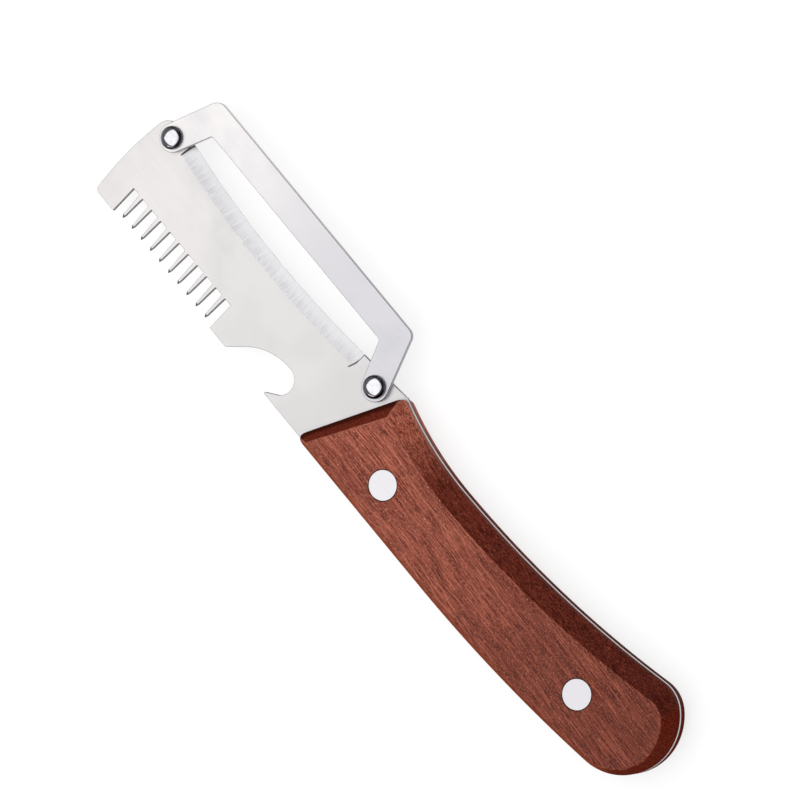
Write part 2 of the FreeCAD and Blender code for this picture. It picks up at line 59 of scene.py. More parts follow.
mm = 0.001
print("frame loaded:", len(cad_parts), "parts")

cameraLook = {
    "aim": (48.4, -13.0, 7.2),            # mm, a point on the blade's front face
    "towards": (-0.286, -0.311, 0.906),   # from the aim to the camera
    "upwards": (0.736, -0.677, 0.0),      # this way is up in the view
    "distance": 1.19,
    "lens": 225.0,                        # mm
    "sensorWidth": 36.0,
}


def buildCamera(look):
    back = Vector(look["towards"]).normalized()
    right = Vector(look["upwards"]).cross(back).normalized()
    up = back.cross(right)
    place = Vector(look["aim"]) * mm + back * look["distance"]
    camera = bpy.data.objects.new("viewCamera", bpy.data.cameras.new("viewCamera"))
    camera.data.lens = look["lens"]
    camera.data.sensor_width = look["sensorWidth"]
    camera.matrix_world = Matrix((
        (right.x, up.x, back.x, place.x),
        (right.y, up.y, back.y, place.y),
        (right.z, up.z, back.z, place.z),
        (0, 0, 0, 1),
    ))
    bpy.context.scene.collection.objects.link(camera)
    bpy.context.scene.camera = camera


buildCamera(cameraLook)
print("camera ready")


# Shader helpers: an input may be a constant or another node's socket.
def put(tree, kind, inputs=None, **settings):
    node = tree.nodes.new(kind)
    for name, value in settings.items():
        setattr(node, name, value)
    for key, value in (inputs or {}).items():
        if isinstance(value, bpy.types.NodeSocket):
            tree.links.new(value, node.inputs[key])
        else:
            node.inputs[key].default_value = value
    return node


def calc(tree, operation, *values):
    node = put(tree, "ShaderNodeMath", dict(enumerate(values)), operation=operation)
    return node.outputs[0]


def product(tree, *values):
    total = values[0]
    for value in values[1:]:
        total = calc(tree, "MULTIPLY", total, value)
    return total


def without(tree, mask):
    return calc(tree, "SUBTRACT", 1.0, mask)


def axes(tree, vector):
    return put(tree, "ShaderNodeSeparateXYZ", {0: vector}).outputs


def fade(tree, value, low, high, first=0.0, last=1.0):
    node = put(tree, "ShaderNodeMapRange",
               {"Value": value, "From Min": low, "From Max": high, "To Min": first, "To Max": last},
               interpolation_type="SMOOTHSTEP")
    return node.outputs["Result"]


# Inputs 6 and 7 are the mix node's two colours, and output 2 is the mixed one.
def blendColours(tree, mask, first, second, mode="MIX"):
    node = put(tree, "ShaderNodeMix", {0: mask, 6: first, 7: second},
               data_type="RGBA", blend_type=mode)
    return node.outputs[2]


def stretch(tree, vector, scale, shift=(0, 0, 0), turn=(0, 0, 0)):
    node = put(tree, "ShaderNodeMapping",
               {"Vector": vector, "Scale": scale, "Location": shift, "Rotation": turn})
    return node.outputs["Vector"]


def cloud(tree, vector, scale, detail=2.0, roughness=0.5):
    node = put(tree, "ShaderNodeTexNoise",
               {"Vector": vector, "Scale": scale, "Detail": detail, "Roughness": roughness})
    return node.outputs[0]


def addBump(tree, shader, height, strength, distance):
    bump = put(tree, "ShaderNodeBump",
               {"Height": height, "Strength": strength, "Distance": distance * mm})
    tree.links.new(bump.outputs[0], shader.inputs["Normal"])


def newGroup(name, inputs, outputs):
    tree = bpy.data.node_groups.new(name, "ShaderNodeTree")
    kinds = {"value": "NodeSocketFloat", "colour": "NodeSocketColor", "vector": "NodeSocketVector"}
    for label, kind, start in inputs:
        socket = tree.interface.new_socket(name=label, in_out="INPUT", socket_type=kinds[kind])
        if start is not None:
            socket.default_value = start
    for label, kind in outputs:
        tree.interface.new_socket(name=label, in_out="OUTPUT", socket_type=kinds[kind])
    given, result = tree.nodes.new("NodeGroupInput"), tree.nodes.new("NodeGroupOutput")
    return tree, given.outputs, result.inputs


def useGroup(tree, group, inputs):
    return put(tree, "ShaderNodeGroup", inputs, node_tree=group).outputs


def newMaterial(name, **constants):
    material = bpy.data.materials.new(name)
    material.use_nodes = True
    tree = material.node_tree
    shader = tree.nodes["Principled BSDF"]
    for key, value in constants.items():
        shader.inputs[key.replace("_", " ")].default_value = value
    coords = put(tree, "ShaderNodeTexCoord").outputs
    return material, tree, shader, coords


# Long fine lines: noise that is much longer along X than across.
def makeFineLines():
    tree, given, result = newGroup(
        "fineLines",
        [("Vector", "vector", None), ("Lines Per Metre", "value", 3000.0),
         ("Length", "value", 30.0), ("Low", "value", 0.35), ("High", "value", 0.65)],
        [("Lines", "value")])
    parts = axes(tree, given["Vector"])
    along = calc(tree, "DIVIDE", parts[0], given["Length"])
    laid = put(tree, "ShaderNodeCombineXYZ", {0: along, 1: parts[1], 2: parts[2]}).outputs[0]
    lines = cloud(tree, laid, given["Lines Per Metre"], 3.0, 0.6)
    tree.links.new(fade(tree, lines, given["Low"], given["High"]), result["Lines"])
    return tree


scratchLook = {
    "sets": ((0.5, 40.0), (-0.9, 30.0)),  # turn in radians, and length over width
    "lineRange": (0.66, 0.70),            # higher values leave fewer, thinner lines
    "patchScale": 90.0,
    "patchRange": (0.5, 0.6),
}


# Scratches: two crossing sets of very thin lines, broken up by a coarser cloud.
def makeScratches(look, fineLines):
    tree, given, result = newGroup(
        "scratches",
        [("Vector", "vector", None), ("Lines Per Metre", "value", 900.0),
         ("Amount", "value", 0.5)],
        [("Mask", "value")])
    low, high = look["lineRange"]
    crossing = []
    for turn, length in look["sets"]:
        turned = stretch(tree, given["Vector"], (1, 1, 1), turn=(0, 0, turn))
        lines = useGroup(tree, fineLines, {
            "Vector": turned, "Lines Per Metre": given["Lines Per Metre"], "Length": length,
            "Low": low, "High": high})["Lines"]
        patches = fade(tree, cloud(tree, turned, look["patchScale"], 1.0), *look["patchRange"])
        crossing.append(product(tree, lines, patches))
    total = calc(tree, "MAXIMUM", *crossing)
    tree.links.new(product(tree, total, given["Amount"]), result["Mask"])
    return tree


plateLook = {
    "linesPerMetre": 2600.0,
    "lineLength": 45.0,
    "lineStrength": 0.25,
    "scratchesPerMetre": 800.0,
    "scratchAmount": 0.35,
    "mottleScale": 55.0,
    "mottleRange": (0.35, 0.68),
    "mottleStrength": 0.7,
    "wallTilt": (0.75, 0.45),              # upright part of the normal, on a face and on a wall
    # painted shade: the upright walls are coloured dark for the shade they sit in, partly the duller
    # sheared edge
    "wallColour": (0.16, 0.15, 0.15, 1),
    "shearColour": (0.34, 0.33, 0.33, 1),  # marks that the stamping tool left on the walls
    "shearScale": 4500.0,
    "shearStretch": 0.05,                  # the marks run through the plate
    "rimTilt": (0.999, 0.97),
    "rimShadeColour": (0.07, 0.065, 0.07, 1),   # painted shade on the rounding between face and wall, standing in for its dark reflection
    "mottleRoughness": 0.06,
    "wallRoughness": 0.12,
    "scratchPolish": 0.12,
}


# Satin plate: mottled face with faint lines, and upright walls with shear marks. The walls are painted
# dark as shade, partly the duller sheared edge. A painted shade line runs along the rounded edges.
def makeSatinPlate(look, fineLines, scratches):
    tree, given, result = newGroup(
        "satinPlate",
        [("Vector", "vector", None), ("Normal", "vector", None), ("Face Colour", "colour", None),
         ("Shade Colour", "colour", None), ("Roughness", "value", 0.35),
         ("Wall Polish", "value", 0.0), ("Rim Shade", "value", 0.5)],
        [("Colour", "colour"), ("Roughness", "value"), ("Height", "value")])
    place, shade = given["Vector"], given["Shade Colour"]
    lines = useGroup(tree, fineLines, {
        "Vector": place, "Lines Per Metre": look["linesPerMetre"],
        "Length": look["lineLength"], "Low": 0.3, "High": 0.7})["Lines"]
    marks = useGroup(tree, scratches, {
        "Vector": place, "Lines Per Metre": look["scratchesPerMetre"],
        "Amount": look["scratchAmount"]})["Mask"]
    mottle = fade(tree, cloud(tree, place, look["mottleScale"], 3.0, 0.55), *look["mottleRange"])
    tilt = calc(tree, "ABSOLUTE", axes(tree, given["Normal"])[2])
    wall = fade(tree, tilt, *look["wallTilt"])
    colour = blendColours(tree, product(tree, mottle, look["mottleStrength"]),
                          given["Face Colour"], shade)
    colour = blendColours(tree, product(tree, lines, look["lineStrength"]), colour, shade)

    parts = axes(tree, place)
    through = product(tree, parts[2], look["shearStretch"])
    flat = put(tree, "ShaderNodeCombineXYZ", {0: parts[0], 1: parts[1], 2: through}).outputs[0]
    shear = fade(tree, cloud(tree, flat, look["shearScale"], 2.0), 0.3, 0.7)
    # The walls get painted shade, unless Wall Polish brings back the face colour.
    sheared = blendColours(tree, product(tree, shear, 0.5), look["wallColour"], look["shearColour"])
    wallColour = blendColours(tree, given["Wall Polish"], sheared, given["Face Colour"])
    # A painted shade line along the rounded edge between face and wall.
    rim = product(tree, fade(tree, tilt, *look["rimTilt"]), given["Rim Shade"])
    colour = blendColours(tree, rim, colour, look["rimShadeColour"])
    tree.links.new(blendColours(tree, wall, colour, wallColour), result["Colour"])

    rough = calc(tree, "ADD", given["Roughness"], product(tree, mottle, look["mottleRoughness"]))
    rough = calc(tree, "SUBTRACT", rough, product(tree, marks, look["scratchPolish"]))
    rough = calc(tree, "ADD", rough, product(tree, wall, look["wallRoughness"]))
    tree.links.new(rough, result["Roughness"])
    height = calc(tree, "SUBTRACT", product(tree, lines, 0.3), marks)
    height = calc(tree, "ADD", height, product(tree, shear, wall, 1.5))
    tree.links.new(height, result["Height"])
    return tree


fineLines = makeFineLines()
scratches = makeScratches(scratchLook, fineLines)
satinPlate = makeSatinPlate(plateLook, fineLines, scratches)

bladeLook = {
    "faceColour": (0.660, 0.648, 0.646, 1),
    "heelShadeColour": (0.598, 0.588, 0.592, 1),   # painted shade, a little darker towards the handle
    "heelShadeFade": (80.0, 135.0),         # mm along the knife, from the painted heel shade to the face colour
    "shadeColour": (0.570, 0.558, 0.563, 1),
    "roughness": 0.36,
    "rimShade": 0.4,
    "bump": (0.35, 0.02),              # strength, and depth in mm
    "edgeCentre": (93.3, -301.6),      # mm, centre of the edge's hollow curve
    "edgeRadius": 290.0,
    "bevelWidth": 4.3,
    "bevelEnds": (-6.04, 7.55),        # degrees from straight ahead, heel and tip end
    "bevelEndSoft": 0.0004,            # radians
    "frontFacing": (0.6, 0.9),         # upright part of the normal, on a wall and on the front
    "grindDark": (0.325, 0.325, 0.340, 1),
    "grindLight": (0.620, 0.620, 0.642, 1),
    "grindStep": 0.34,                 # mm between the wheel's marks
    "grindShake": 6.0,                 # radians that the marks wander
    "grindFade": (0.6, 3.2, 0.38),     # mm from the edge where they are weak and full; how weak
    "runOut": (-0.4, 0.1),             # mm, how unevenly the marks end at the bevel's back
    "bevelRoughness": -0.04,
    "stopShadeColour": (0.10, 0.09, 0.09, 1),
    "stopWidth": 0.20,                 # mm, half the painted shade line where the wheel was lifted
    "stopBend": 54.0,                  # how the heel's mark curves away from the edge
    "stopReach": (0.9, 0.2),           # mm beyond the bevel's back, heel and tip end
    "tineNeck": 11.15,                 # mm, where the comb's points begin
    "combEnds": ((96.5, 0.3), (134.5, -0.3)),  # mm, place and soft width
    "tineShadeColour": (0.12, 0.11, 0.11, 1),
    "tineStrength": 0.8,
    "handleFront": (48.0, 52.0),       # mm, the tang's walls are sanded bright behind here
    # painted shade, near black, on the lower half of the tang's walls
    "tangShadeColour": (0.012, 0.010, 0.010, 1),
    "tangShadeDepth": 0.2,                 # mm, from the tang's middle to full painted shade
}


# The bevel's light and dark: wheel marks along the edge, with an uneven back and square ends.
def grindMasks(tree, look, across, along, angle, front):
    laid = put(tree, "ShaderNodeCombineXYZ", {0: across, 1: along}).outputs[0]
    # A sine along the edge, its phase and strength shaken by noise.
    shake = cloud(tree, stretch(tree, laid, (120, 800, 1)), 1.0, 2.0)
    phase = product(tree, along, 2 * math.pi / (look["grindStep"] * mm))
    wave = calc(tree, "SINE", calc(tree, "ADD", phase, product(tree, shake, look["grindShake"])))
    patches = cloud(tree, stretch(tree, laid, (250, 1500, 1), shift=(2, 4, 0)), 1.0, 1.0)
    strength = fade(tree, patches, 0.3, 0.7, 0.5, 1.0)
    weak, full, least = look["grindFade"]
    inner = fade(tree, across, weak * mm, full * mm, least, 1.0)
    lines = product(tree, fade(tree, wave, -0.5, 1.0), strength, inner)

    uneven = useGroup(tree, fineLines, {"Vector": laid, "Lines Per Metre": 3000.0, "Length": 12.0,
                                        "Low": 0.25, "High": 0.75})["Lines"]
    shortest, longest = ((look["bevelWidth"] + value) * mm for value in look["runOut"])
    limit = fade(tree, uneven, 0.0, 1.0, shortest, longest)
    inside = fade(tree, calc(tree, "SUBTRACT", limit, across), 0.0, 0.45 * mm)
    soft = look["bevelEndSoft"]
    heel, tip = (math.radians(value) for value in look["bevelEnds"])
    bevel = product(tree, inside, fade(tree, angle, heel - soft, heel + soft),
                    fade(tree, angle, tip + soft, tip - soft), front)
    return bevel, lines


def makeBladeSteel(look):
    material, tree, shader, coords = newMaterial("bladeSteel", Metallic=1.0)
    parts = axes(tree, coords["Object"])
    behind, ahead = (value * mm for value in look["handleFront"])
    polish = fade(tree, parts[0], ahead, behind)
    middle = sum(corner.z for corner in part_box("blade")) / 2
    # Painted shade on the lower half of the tang's walls beside the rear scale. The upper half stays
    # sanded bright.
    tang = product(tree, polish, fade(tree, parts[2], middle, middle - look["tangShadeDepth"] * mm))
    # Painted shade: the face colour darkens towards the heel.
    heel, tip = (value * mm for value in look["heelShadeFade"])
    face = blendColours(tree, fade(tree, parts[0], heel, tip), look["heelShadeColour"], look["faceColour"])
    plate = useGroup(tree, satinPlate, {
        "Vector": coords["Object"], "Normal": coords["Normal"],
        "Face Colour": face, "Shade Colour": look["shadeColour"],
        "Roughness": look["roughness"], "Wall Polish": calc(tree, "SUBTRACT", polish, tang),
        "Rim Shade": look["rimShade"]})

    # Distance from the edge's curve, and length along it, about the curve's centre.
    fromX = calc(tree, "SUBTRACT", parts[0], look["edgeCentre"][0] * mm)
    fromY = calc(tree, "SUBTRACT", parts[1], look["edgeCentre"][1] * mm)
    radius = look["edgeRadius"] * mm
    squares = calc(tree, "ADD", product(tree, fromX, fromX), product(tree, fromY, fromY))
    across = calc(tree, "SUBTRACT", calc(tree, "SQRT", squares), radius)
    angle = calc(tree, "ARCTAN2", fromX, fromY)
    along = product(tree, angle, radius)
    front = fade(tree, axes(tree, coords["Normal"])[2], *look["frontFacing"])
    bevel, lines = grindMasks(tree, look, across, along, angle, front)
    ground = blendColours(tree, lines, look["grindLight"], look["grindDark"])
    colour = blendColours(tree, bevel, plate["Colour"], ground)

    # Painted shade where the wheel stopped: a dark line across the bevel at both ends, bent at the
    # heel, for the shade in the ground's curved run-out.
    width = look["stopWidth"] * mm
    for end, past, bend in zip(look["bevelEnds"], look["stopReach"], (look["stopBend"], 0.0)):
        start = calc(tree, "SUBTRACT", along, math.radians(end) * radius)
        curve = product(tree, across, across, bend)
        gap = calc(tree, "ABSOLUTE", calc(tree, "SUBTRACT", start, curve))
        back = (look["bevelWidth"] + past) * mm
        # The painted shade line across the bevel's end.
        mark = product(tree, fade(tree, gap, width * 1.6, width * 0.5),
                       fade(tree, across, back, back - 0.8 * mm), front)
        colour = blendColours(tree, mark, colour, look["stopShadeColour"])

    # Painted shade on the ground points of the comb, for the dark reflection of their sloped grind.
    neck = look["tineNeck"]
    points = fade(tree, parts[1], (neck - 0.25) * mm, (neck + 0.1) * mm)
    for place, soft in look["combEnds"]:
        points = product(tree, points, fade(tree, parts[0], place * mm, (place + soft) * mm))
    colour = blendColours(tree, product(tree, points, look["tineStrength"]), colour,
                          look["tineShadeColour"])
    # The tang's lower half gets its painted shade.
    colour = blendColours(tree, tang, colour, look["tangShadeColour"])
    tree.links.new(colour, shader.inputs["Base Color"])
    rough = calc(tree, "ADD", plate["Roughness"], product(tree, bevel, look["bevelRoughness"]))
    tree.links.new(rough, shader.inputs["Roughness"])
    height = blendColours(tree, bevel, plate["Height"], product(tree, lines, 2.5))
    addBump(tree, shader, height, *look["bump"])
    return material


guardLook = {
    "faceColour": (0.770, 0.752, 0.745, 1),
    "heelShadeColour": (0.486, 0.486, 0.518, 1),  # painted shade, darker towards the handle
    "heelLength": 15.0,                      # mm that keep the full painted heel shade
    "shadeColour": (0.605, 0.596, 0.622, 1),
    "patternShift": (0.31, 0.17, 0.0),       # m, so that it doesn't repeat the blade's mottling
    "roughness": 0.34,
    "wallPolish": 0.75,
    "rimShade": 0.75,
    "bump": (0.3, 0.02),                     # strength, and depth in mm
}


def makeGuardSteel(look):
    material, tree, shader, coords = newMaterial("guardSteel", Metallic=1.0)
    shifted = stretch(tree, coords["Object"], (1, 1, 1), shift=look["patternShift"])
    low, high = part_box("guard")
    # Painted shade: the heel arm is coloured darker and bluer than the tip arm.
    towardsTip = fade(tree, axes(tree, coords["Object"])[0], low.x + look["heelLength"] * mm, high.x)
    plate = useGroup(tree, satinPlate, {
        "Vector": shifted, "Normal": coords["Normal"],
        "Face Colour": blendColours(tree, towardsTip, look["heelShadeColour"], look["faceColour"]),
        "Shade Colour": look["shadeColour"], "Roughness": look["roughness"],
        "Wall Polish": look["wallPolish"], "Rim Shade": look["rimShade"]})
    tree.links.new(plate["Colour"], shader.inputs["Base Color"])
    tree.links.new(plate["Roughness"], shader.inputs["Roughness"])
    addBump(tree, shader, plate["Height"], *look["bump"])
    return material


domeLook = {
    "bright": (0.66, 0.66, 0.69, 1),
    "haze": (0.58, 0.58, 0.62, 1),
    "hazeScale": 900.0,
    "seat": (0.05, 0.045, 0.055, 1),  # painted dark reflection round the foot of the head
    "scratchesPerMetre": 5000.0,
    "roughness": (0.07, 0.05, 0.15),  # clean, and what haze and scratches add
}


def makeDomeSteel(look):
    material, tree, shader, coords = newMaterial("domeSteel", Metallic=1.0)
    marks = useGroup(tree, scratches, {
        "Vector": coords["Object"], "Lines Per Metre": look["scratchesPerMetre"],
        "Amount": 1.0})["Mask"]
    haze = fade(tree, cloud(tree, coords["Object"], look["hazeScale"], 3.0), 0.4, 0.7)
    # Painted dark reflection round the foot of the head, where the dome's steep side would mirror dark
    # surroundings.
    seat = put(tree, "ShaderNodeAttribute", attribute_name="seatShade").outputs["Fac"]
    colour = blendColours(tree, haze, look["bright"], look["haze"])
    colour = blendColours(tree, seat, colour, look["seat"])
    tree.links.new(colour, shader.inputs["Base Color"])
    clean, hazy, scratched = look["roughness"]
    rough = calc(tree, "ADD", product(tree, haze, hazy), product(tree, marks, scratched))
    tree.links.new(calc(tree, "ADD", rough, clean), shader.inputs["Roughness"])
    return material


flushLook = {
    "rearShadeColour": (0.605, 0.600, 0.630, 1),   # the rivet near the butt, in painted shade
    "frontColour": (0.672, 0.662, 0.682, 1),  # the rivet near the blade
    "rearShadeFade": (-30.0, 30.0),              # mm along the knife, over which the painted shade fades
    "lineColour": (0.570, 0.570, 0.590, 1),
    "linesPerMetre": 5200.0,
    "lineLength": 25.0,
    "scratchesPerMetre": 2600.0,
    "roughness": 0.36,
    "scratchPolish": 0.12,
    "bump": (0.25, 0.01),                     # strength, and depth in mm
}


def makeFlushMetal(look):
    material, tree, shader, coords = newMaterial("flushMetal", Metallic=1.0)
    lines = useGroup(tree, fineLines, {
        "Vector": coords["Object"], "Lines Per Metre": look["linesPerMetre"],
        "Length": look["lineLength"], "Low": 0.3, "High": 0.7})["Lines"]
    marks = useGroup(tree, scratches, {
        "Vector": coords["Object"], "Lines Per Metre": look["scratchesPerMetre"],
        "Amount": 1.0})["Mask"]
    # Painted shade: the rivet near the butt is coloured darker than the one near the blade.
    rear, front = (value * mm for value in look["rearShadeFade"])
    along = fade(tree, axes(tree, coords["Object"])[0], rear, front)
    face = blendColours(tree, along, look["rearShadeColour"], look["frontColour"])
    colour = blendColours(tree, product(tree, lines, 0.5), face, look["lineColour"])
    tree.links.new(colour, shader.inputs["Base Color"])
    rough = calc(tree, "SUBTRACT", look["roughness"], product(tree, marks, look["scratchPolish"]))
    tree.links.new(rough, shader.inputs["Roughness"])
    height = calc(tree, "SUBTRACT", product(tree, lines, 0.5), marks)
    addBump(tree, shader, height, *look["bump"])
    return material


woodLook = {
    "grainTurn": 0.035,        # radians, the grain runs a little across the handle
    "sway": 6.0,               # mm that the grain wanders
    "darkFibre": (0.110, 0.018, 0.009, 1),
    "lightFibre": (0.365, 0.106, 0.066, 1),
    "fibreScale": (150, 5200, 5200),
    "deep": (0.120, 0.022, 0.013, 1),        # broad dark figure
    "deepStrength": 0.5,
    "pore": (0.040, 0.006, 0.003, 1),
    "poreScale": (260, 5600, 5600),
    "poreStrength": 0.75,
    "fleck": (0.520, 0.215, 0.150, 1),
    "fleckScale": (1600, 5600, 5600),
    "fleckStrength": 0.7,
    "rearShadeTone": (0.70, 0.59, 0.54, 1),       # painted shade, the butt end darker than the front
    # painted light, the front brighter than the wood's own colour
    "frontLitTone": (1.20, 1.17, 1.15, 1),
    "lengthShadeFade": (-62.0, 52.0),               # mm along the knife
    "spineShadeTone": (0.36, 0.20, 0.17, 1),      # painted shade on the bevel along the spine
    "spineShadeStrength": 0.85,
    "spineShadeFade": (42.0, 22.0),               # mm, the painted shade fades out towards the front
    "rimTone": (0.230, 0.050, 0.018, 1),     # belly side
    "rimStrength": 0.45,
    "endGrain": (0.088, 0.0085, 0.0035, 1),
    "endStrength": 0.9,
    "ridgeHighlight": (0.420, 0.150, 0.100, 1),       # painted highlight, a pale line where the front bevel meets the face
    "ridgeHighlightFade": (36.0, 42.0),
    "jointShade": (0.020, 0.004, 0.002, 1),
    "jointReach": (4.7, 3.3),                # mm from the blade's middle, clear and dark
    "jointFade": (30.0, 36.0),
    "jointStrength": 0.8,
    "worn": (0.430, 0.130, 0.062, 1),
    "wornStrength": 0.3,
    "roughness": (0.42, 0.25),               # smooth wood, and what the pores add
    "sheen": 0.38,                           # oil finish on the long faces
    "bump": (0.5, 0.08),                     # strength, and depth in mm
}


def makeHandleWood(look):
    material, tree, shader, coords = newMaterial(
        "handleWood", Specular_IOR_Level=0.0, Coat_Roughness=0.30, Coat_IOR=1.36)
    place = stretch(tree, coords["Object"], (1, 1, 1), turn=(0, 0, look["grainTurn"]))
    sway = calc(tree, "SUBTRACT", cloud(tree, stretch(tree, place, (11, 30, 30)), 1.0, 2.0), 0.5)
    drift = put(tree, "ShaderNodeCombineXYZ",
                {1: product(tree, sway, look["sway"] * mm)}).outputs[0]
    bent = put(tree, "ShaderNodeVectorMath", {0: place, 1: drift}, operation="ADD").outputs[0]

    def grain(scale, detail=3.0, roughness=0.5, shift=(0, 0, 0)):
        return cloud(tree, stretch(tree, bent, scale, shift=shift), 1.0, detail, roughness)

    def paint(under, mask, strength, name):
        return blendColours(tree, product(tree, mask, strength), under, look[name])

    def lengthFade(name):
        return fade(tree, along, *(value * mm for value in look[name]))

    # Fine fibres, broad darker figure, pores and bright flecks.
    fibres = grain(look["fibreScale"], roughness=0.65)
    colour = blendColours(tree, fade(tree, fibres, 0.38, 0.63), look["darkFibre"], look["lightFibre"])
    bands = grain((18, 420, 420), roughness=0.6)
    patches = grain((26, 90, 90), shift=(3, 5, 1))
    figure = calc(tree, "ADD", product(tree, bands, 0.6), product(tree, patches, 0.4))
    colour = paint(colour, fade(tree, figure, 0.58, 0.42), look["deepStrength"], "deep")
    pores = fade(tree, grain(look["poreScale"], 1.0, shift=(7, 2, 9)), 0.55, 0.63)
    colour = paint(colour, pores, look["poreStrength"], "pore")
    flecks = fade(tree, grain(look["fleckScale"], 1.0, shift=(1, 8, 3)), 0.60, 0.68)
    colour = paint(colour, flecks, look["fleckStrength"], "fleck")

    # Painted light and shade along the handle, then the sides, told apart by the way they face, the
    # spine side in painted shade.
    along = axes(tree, coords["Object"])[0]
    normal = axes(tree, coords["Normal"])
    tone = blendColours(tree, lengthFade("lengthShadeFade"), look["rearShadeTone"], look["frontLitTone"])
    colour = blendColours(tree, 1.0, colour, tone, "MULTIPLY")
    ends = fade(tree, calc(tree, "ABSOLUTE", normal[0]), 0.35, 0.65)
    belly = fade(tree, normal[1], 0.45, 0.75)
    # Painted shade on the spine side's bevel, which faces away from the light.
    spine = product(tree, fade(tree, normal[1], -0.35, -0.55), lengthFade("spineShadeFade"))
    spineShaded = paint((1, 1, 1, 1), spine, look["spineShadeStrength"], "spineShadeTone")
    colour = blendColours(tree, 1.0, colour, spineShaded, "MULTIPLY")
    colour = paint(colour, belly, look["rimStrength"], "rimTone")
    colour = paint(colour, ends, look["endStrength"], "endGrain")
    colour = paint(colour, product(tree, flecks, ends), 0.25, "fleck")
    # A painted highlight along the edges of the end grain, at the front only.
    ridgeHighlight = product(tree, ends, without(tree, ends), lengthFade("ridgeHighlightFade"))
    colour = paint(colour, ridgeHighlight, 2.0, "ridgeHighlight")

    # Painted shade on the end grain beside the blade, and worn edges.
    middle = sum(corner.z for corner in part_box("blade")) / 2
    above = calc(tree, "ABSOLUTE", calc(tree, "SUBTRACT", axes(tree, place)[2], middle))
    nearBlade = fade(tree, above, *(value * mm for value in look["jointReach"]))
    joint = product(tree, ends, product(tree, nearBlade, lengthFade("jointFade")))
    colour = paint(colour, joint, look["jointStrength"], "jointShade")
    wear = put(tree, "ShaderNodeAttribute", attribute_name="edgeWear").outputs["Fac"]
    patchy = fade(tree, cloud(tree, stretch(tree, place, (400, 1100, 1100)), 1.0, 2.0), 0.4, 0.65)
    wear = product(tree, wear, fade(tree, normal[1], -0.25, 0.05), patchy)
    colour = paint(colour, wear, look["wornStrength"], "worn")
    tree.links.new(colour, shader.inputs["Base Color"])

    smooth, porous = look["roughness"]
    tree.links.new(calc(tree, "ADD", smooth, product(tree, pores, porous)), shader.inputs["Roughness"])
    oiled = product(tree, without(tree, ends), without(tree, belly),
                    without(tree, product(tree, spine, 0.7)), look["sheen"])
    tree.links.new(oiled, shader.inputs["Coat Weight"])
    height = calc(tree, "SUBTRACT", product(tree, fibres, 0.8), pores)
    addBump(tree, shader, height, *look["bump"])
    return material


bladeSteel = makeBladeSteel(bladeLook)
guardSteel = makeGuardSteel(guardLook)
domeSteel = makeDomeSteel(domeLook)
flushMetal = makeFlushMetal(flushLook)
handleWood = makeHandleWood(woodLook)
print("materials ready")


# Quads between the rows of a grid whose rows are closed loops.
def gridFaces(rows, columns, start=0):
    row, column = np.meshgrid(np.arange(rows - 1), np.arange(columns), indexing="ij")
    after = (column + 1) % columns
    quads = np.stack((row * columns + column, row * columns + after,
                      (row + 1) * columns + after, (row + 1) * columns + column), axis=-1)
    return (quads.reshape(-1, 4) + start).tolist()


def finishPiece(name, mesh, node, material, sharpAngle, closeUp=True):
    if closeUp:
        work = bmesh.new()
        work.from_mesh(mesh)
        bmesh.ops.remove_doubles(work, verts=work.verts, dist=1e-7)
        bmesh.ops.recalc_face_normals(work, faces=work.faces)
        work.to_mesh(mesh)
        work.free()
    mesh.shade_smooth()
    mesh.set_sharp_from_angle(angle=math.radians(sharpAngle))
    mesh.materials.append(material)
    piece = bpy.data.objects.new(name, mesh)
    bpy.context.scene.collection.objects.link(piece)
    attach(piece, "root")
    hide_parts(node)
    return piece


plateEdgeLook = {
    "width": 0.10,       # mm, tumbled round on the stamped edges
    "steps": 2,
    "keepSharp": 0.6,    # mm, nothing is rounded this near the ground edge
    "wallTilt": 0.2,     # upright part of a wall's normal, at most
    "faceTilt": 0.98,    # and of a face's, at least
    "smoothAngle": 35,
}


# A stamped plate: the node's own faces, joined up, with its face outlines softly rounded.
def softenPlate(name, node, material, look):
    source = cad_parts[node].data
    points = np.empty(len(source.vertices) * 3)
    corners = np.empty(len(source.loops), int)
    source.vertices.foreach_get("co", points)
    source.loops.foreach_get("vertex_index", corners)
    mesh = bpy.data.meshes.new(name)
    mesh.from_pydata(points.reshape(-1, 3).tolist(), [], corners.reshape(-1, 3).tolist())
    work = bmesh.new()
    work.from_mesh(mesh)
    bmesh.ops.remove_doubles(work, verts=work.verts, dist=1e-6)
    bmesh.ops.dissolve_limit(work, angle_limit=math.radians(0.05), verts=work.verts, edges=work.edges)
    weight = work.edges.layers.float.new("bevel_weight_edge")
    centre = Vector(bladeLook["edgeCentre"]) * mm
    nearest = (bladeLook["edgeRadius"] + look["keepSharp"]) * mm
    for edge in work.edges:
        tilts = sorted(abs(face.normal.z) for face in edge.link_faces)
        reach = min((vert.co.xy - centre).length for vert in edge.verts)
        outline = len(tilts) == 2 and tilts[0] < look["wallTilt"] and tilts[1] > look["faceTilt"]
        if outline and (node != "blade" or reach > nearest):
            edge[weight] = 1.0
    work.to_mesh(mesh)
    work.free()
    piece = finishPiece(name, mesh, node, material, look["smoothAngle"], closeUp=False)
    soften = piece.modifiers.new("tumbledEdge", "BEVEL")
    soften.width = look["width"] * mm
    soften.segments = look["steps"]
    soften.limit_method = "WEIGHT"
    soften.use_clamp_overlap = False
    even = piece.modifiers.new("flatFaces", "WEIGHTED_NORMAL")
    even.keep_sharp = True
    return piece


softenPlate("bladePlate", "blade", bladeSteel, plateEdgeLook)
softenPlate("guardPlate", "guard", guardSteel, plateEdgeLook)
print("plates ready")


